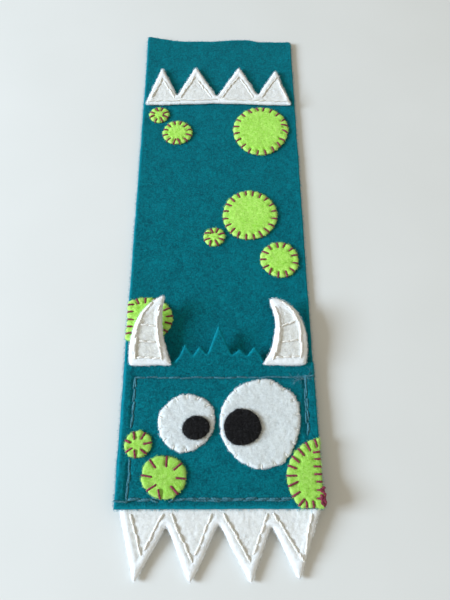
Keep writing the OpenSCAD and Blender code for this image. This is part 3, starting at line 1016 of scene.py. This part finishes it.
def sew_seam():
    """Back stitch all round, and a wrap over the panel's edge where the thread starts and ends.

    On all but the top line a second run of thread lies beside it.
    """
    seam = Thread(radius=0.42, pitch=2.2, seed=7)
    for p, q in seam_bars:
        seam.stitch(p, q, panel.top, longer=0.5, stray=0.22, dive=0.35)
        seam.beneath(p, q)
        on_top_line = min(p[1], q[1]) >= SEAM_HIGH[1] - 1
        if not on_top_line:
            runs_across = abs(q[0] - p[0]) > abs(q[1] - p[1])
            beside = np.array([0.9, 0.45] if runs_across else [0.45, 0.9])
            seam.stitch(p + beside, q + beside, panel.top, longer=0.3, stray=0.2, dive=0.35)
    for corner, edge_x in ((SEAM_LOW, panel.loop[:, 0].min()), (SEAM_HIGH, HALF_W)):
        out = math.copysign(1, edge_x)
        xs = np.array([corner[0] - out, corner[0], corner[0] + 2 * out,
                       edge_x - 0.7 * out, edge_x - 0.1 * out, edge_x - 0.2 * out])
        at = np.column_stack([xs, corner[1] + 0.3 * np.linspace(-1, 1, len(xs))])
        height = panel.top(at) + 0.25
        height[-2:] = panel.lies_on(at[-2:]) + np.array([0.5, -0.4]) * FELT_THICK
        seam.lay(np.column_stack([at, height]), 16)
    cuts["head_felt"]["with"].append(seam.build("head_seam", "slate_thread", riding("head")))


def fray_seam(middle, count, size, seed):
    """Thin loose filaments that fan out over the head from where the seam's thread was cut."""
    rng = np.random.default_rng(seed)
    heading = rng.uniform(-0.5, 0.7, count) + np.pi * (rng.random(count) < 0.3)
    curl = rng.normal(0, 1.0, count)
    start = middle + rng.normal(0, 1.0, (count, 2)) * (1.6, 0.7)
    trail = trails(start, heading, curl, size, 5)
    height = panel.top(trail.reshape(-1, 2)).reshape(trail.shape[:2])
    lift = rng.uniform(0.1, 0.9, (count, 1)) * np.array([0, 0.6, 1, 1, 0.9, 0.7])
    points, faces = strands(np.concatenate([trail, (height + 0.05 + lift)[..., None]], axis=2), 0.05)
    made = new_object("seam_fray", points, faces,
                      fuzz_material("seam_fray", rgb(40, 112, 128), rgb(128, 176, 186)))
    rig.slot(made, "slate_thread")
    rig.ride(made, "head")
    cuts["head_felt"]["with"].append(made)


sew_seam()
fray_seam(np.array([SEAM_HIGH[0] - 1, SEAM_HIGH[1] - 1]), count=26, size=4.5, seed=81)


# ---- Rounds: spots, eyes and pupils, each held by whip stitches ----

def scalloped(loop, outer_ends, depth):
    """The outline drawn in at each whip stitch."""
    gaps = np.linalg.norm(loop[:, None, :] - outer_ends[None], axis=2)
    pull = np.exp(-gaps ** 2).sum(axis=1) - 0.2
    return loop - outward(loop) * (depth * pull)[:, None]


def round_felt(node, slot, thread_slot, body, under, rests, seed, depth=0.5, groove=0.7, radius=0.42,
               wander=0.28, trim=0.05, base_pale=0.0, sunk=0.12, shows_beneath=False, knots=(), dye=None):
    """A round of felt and its whip stitches, which draw its outline in by depth and press a groove in it.

    Radius is the thread's. The round is sunk a little in the felt under it. Knots are the heights above
    the head's bottom edge at which thread is tangled, on the strip's right edge.
    """
    outline = outline_of(node)
    middle = outline.mean(axis=0)
    bars = [
        (p, q) if np.linalg.norm(p - middle) < np.linalg.norm(q - middle) else (q, p)
        for p, q in bars_of(node + "_stitches")
    ]
    inner, outer = (np.array([b[k] for b in bars]) for k in (0, 1))
    loop = scalloped(hand_cut(outline, 0.4, wander, seed, trim=trim), outer, depth)
    felt = Felt(loop, lambda xy: under(xy) - sunk, FELT_THICK, round_r=1.3,
                groove=(inner, outer, groove, 0.65), seed=seed, lump=0.11, base_pale=base_pale)
    place_felt(node + "_felt", felt, slot, [node], riding(body), rests, grid=0.5, dye=dye)
    thread = Thread(radius, pitch=2.4, seed=seed)
    for p, q in bars:
        thread.whip(p, q, felt, under)
        if shows_beneath:
            slant = np.linalg.norm(q - p) * np.array([0.14, 0.105])
            thread.beneath(p + (q - p) * 0.15, q + slant)
    for up in knots:
        corner = np.array([[HALF_W - 0.4, HEAD_Y + up]])
        thread.tangle(np.append(corner[0], felt.top(corner)[0] - 0.1), size=0.75, turns=6)
    cuts[node + "_felt"]["with"].append(thread.build(node + "_stitches", thread_slot, riding(body)))
    return felt


# What sets some spots apart from the others
ODD_SPOTS = {
    "cheek_medium_spot": {"wander": 0.8},
    "corner_spot": {"knots": (2.0, 3.3, 4.7, 6.2)},
}


def spots(body, names, base, **look):
    """The lime spots on one body, with seeds that follow from their order."""
    for k, node in enumerate(names):
        far_side = box_mm(node)[0][1] > cut_y
        rests = "head_felt" if body == "head" else "strip_far_end" if far_side else "strip_head_end"
        round_felt(node, "lime_felt", "plum_thread", body, base.level, [rests], 11 + 3 * k + len(body),
                   **look, **ODD_SPOTS.get(node, {}))


spots("back", ("mid_large_spot", "mid_small_spot", "mid_medium_spot", "horn_spot"), strip, shows_beneath=True)
spots("pocket", ("far_small_spot", "far_medium_spot", "far_large_spot"), strip, shows_beneath=True)
# The spots on the head take the darker copy of the lime felt: painted shade, as they lie in weaker light
spots("head", ("cheek_small_spot", "cheek_medium_spot", "corner_spot"), panel, dye="deep_lime_felt")

# The eyes take the darker, cooler copy of the white felt: painted shade, as they lie in weaker light
for side, seed in (("left", 41), ("right", 47)):
    white = round_felt(f"{side}_eye", "white_felt", "cream_thread", "head", panel.level, ["head_felt"], seed,
                       depth=0.4, groove=0.6, radius=0.28, wander=0.9, trim=0.25, base_pale=0.1, sunk=0.4,
                       dye="cool_white_felt")
    round_felt(f"{side}_pupil", "black_felt", "black_thread", "head", white.level, [f"{side}_eye_felt"],
               seed + 2, depth=0.2, groove=0.3, radius=0.2, wander=0.4)


# ---- White pieces with stitched lines: horns, teeth and fangs ----

def quilted(name, nodes, stitch_node, outline, under, rests, carry, seed, roll, base_pale=0.0, radius=0.42):
    """A white felt piece pressed down along its stitched lines, with its border puffed up, and its thread."""
    bars = bars_of(stitch_node)
    starts, ends = (np.array([b[k] for b in bars]) for k in (0, 1))
    loop = hand_cut(outline, step=0.4, wander=0.3, seed=seed, rounding=12, trim=0.15)
    # Its puffed border takes the edge colour and its cells less of it: a painted highlight on the border
    felt = Felt(loop, under, WHITE_THICK + 0.25, round_r=1.7, groove=(starts, ends, 0.2, 0.9), seed=seed,
                lump=0.13, roll=roll, base_pale=base_pale)
    place_felt(name, felt, "white_felt", nodes, carry, rests, grid=0.5)
    thread = Thread(radius, pitch=3.4, seed=seed, count=3)
    for p, q in bars:
        thread.stitch(p, q, felt.top, longer=0.6, stray=0.2, dive=0.1)
    cuts[name]["with"].append(thread.build(stitch_node, "cream_thread", carry))


def horn_under(foot_x):
    """Height under a horn: it stands off the head panel's top edge and rises towards its tip."""
    foot = panel_under(np.array([[foot_x, FOOT_Y + 2]]))[0] + FELT_THICK

    def height(xy):
        out = np.maximum(0, xy[:, 1] - FOOT_Y)
        return foot - 0.25 + 0.09 * out + 0.0016 * out ** 2
    return height


for side, seed in (("left", 61), ("right", 67)):
    node = f"{side}_horn"
    low, high = box_mm(node)
    quilted(node + "_felt", [node], node + "_stitches", outline_of(node), horn_under((low[0] + high[0]) / 2),
            ["head_felt"], bending("head", node, FOOT_Y + 0.2, FOOT_Y + 4), seed, roll=(2.3, 0.32))


def fang_under(xy):
    """Height under the fangs: on the strip where they are tucked in, then drooping to the table."""
    out = np.maximum(0, HEAD_Y - xy[:, 1])
    level = strip.level(np.column_stack([xy[:, 0], np.maximum(xy[:, 1], HEAD_Y)]))
    return level - 0.8 * smooth(out / 22) * level


def fang_outline():
    """The free fangs' outline, with the root added to it that is tucked in under the head panel."""
    loop = outline_of("fang_strip")
    root = loop[:, 1] > HEAD_Y - 0.01
    left, right = loop[root][:, 0].min(), loop[root][:, 0].max()
    loop = np.roll(loop, -int(np.argmax(root & (loop[:, 0] == left))), axis=0)
    tucked = [[right, HEAD_Y + TUCK], [left, HEAD_Y + TUCK]]
    return np.vstack([[[left, HEAD_Y]], loop[~root], [[right, HEAD_Y]], tucked])


quilted("fang_felt", ["fang_strip", "fang_root"], "fang_stitches", fang_outline(), fang_under,
        ["strip_head_end"], bending("head", "fangs", HEAD_Y + 0.5, HEAD_Y - 3), seed=71,
        roll=(2.2, 0.25), base_pale=0.5)
quilted("tooth_felt", ["tooth_row"], "tooth_stitches", outline_of("tooth_row"), strip.level,
        ["strip_far_end"], riding("pocket"), seed=73, roll=(1.8, 0.24), base_pale=0.3, radius=0.34)


# ---- Table, light and camera ----

def table_material():
    """A smooth pale top, with faint changes of tone."""
    s = Shader("table")
    tone = s.noise(0.02, 2, 0.5)
    s.set(s.surface.inputs["Base Color"], s.mixed(tone, rgb(216, 218, 214), rgb(222, 224, 221)))
    s.set(s.surface.inputs["Roughness"], s.ranged(tone, 0.3, 0.7, 0.75, 0.9))
    s.surface.inputs["Specular IOR Level"].default_value = 0.1
    return s.material


def table():
    """A plain pale table, 3 m square."""
    half = 1.5 / MM
    made = new_object("table", [(-half, -half, 0), (half, -half, 0), (half, half, 0), (-half, half, 0)],
                      [(0, 1, 2, 3)], table_material())
    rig.stage(made)


def area_light(name, place, aim, width, power, colour):
    """A square light at a place that faces another, in metres."""
    data = bpy.data.lights.new(name, "AREA")
    data.size, data.energy, data.color = width, power, colour
    made = bpy.data.objects.new(name, data)
    made.location = place
    made.rotation_euler = (Vector(aim) - Vector(place)).to_track_quat("-Z", "Y").to_euler()
    bpy.context.scene.collection.objects.link(made)


def studio():
    """A cool window on the left, and a warm room all round."""
    world = bpy.context.scene.world or bpy.data.worlds.new("World")
    bpy.context.scene.world = world
    world.use_nodes = True
    back = world.node_tree.nodes["Background"]
    back.inputs["Color"].default_value = (1.0, 0.91, 0.76, 1)
    back.inputs["Strength"].default_value = 0.53
    area_light("window", place=(-1.2, -0.15, 0.6), aim=(0, 0, 0), width=0.5, power=29.5,
               colour=(0.70, 0.83, 1.0))
    bpy.context.scene.view_settings.view_transform = "Standard"


CAMERA_UP = 66.8                                     # degrees above the table
CAMERA_ROLL = -0.14                                  # degrees
CAMERA_AT = (0.0025, HEAD_Y * MM - 0.0059, 0.208)    # metres


def camera():
    """Over the head's bottom edge, looking along the strip."""
    data = bpy.data.cameras.new("camera")
    data.lens = 31.8
    made = bpy.data.objects.new("camera", data)
    made.location = CAMERA_AT
    made.rotation_euler = (math.radians(90 - CAMERA_UP), 0, math.radians(CAMERA_ROLL))
    bpy.context.scene.collection.objects.link(made)
    bpy.context.scene.camera = made


table()
studio()
camera()

declare_sheets()
with open("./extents.json", "w") as out:
    json.dump([[list(corner) for corner in cad_box], [list(corner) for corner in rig.bounds()]], out)
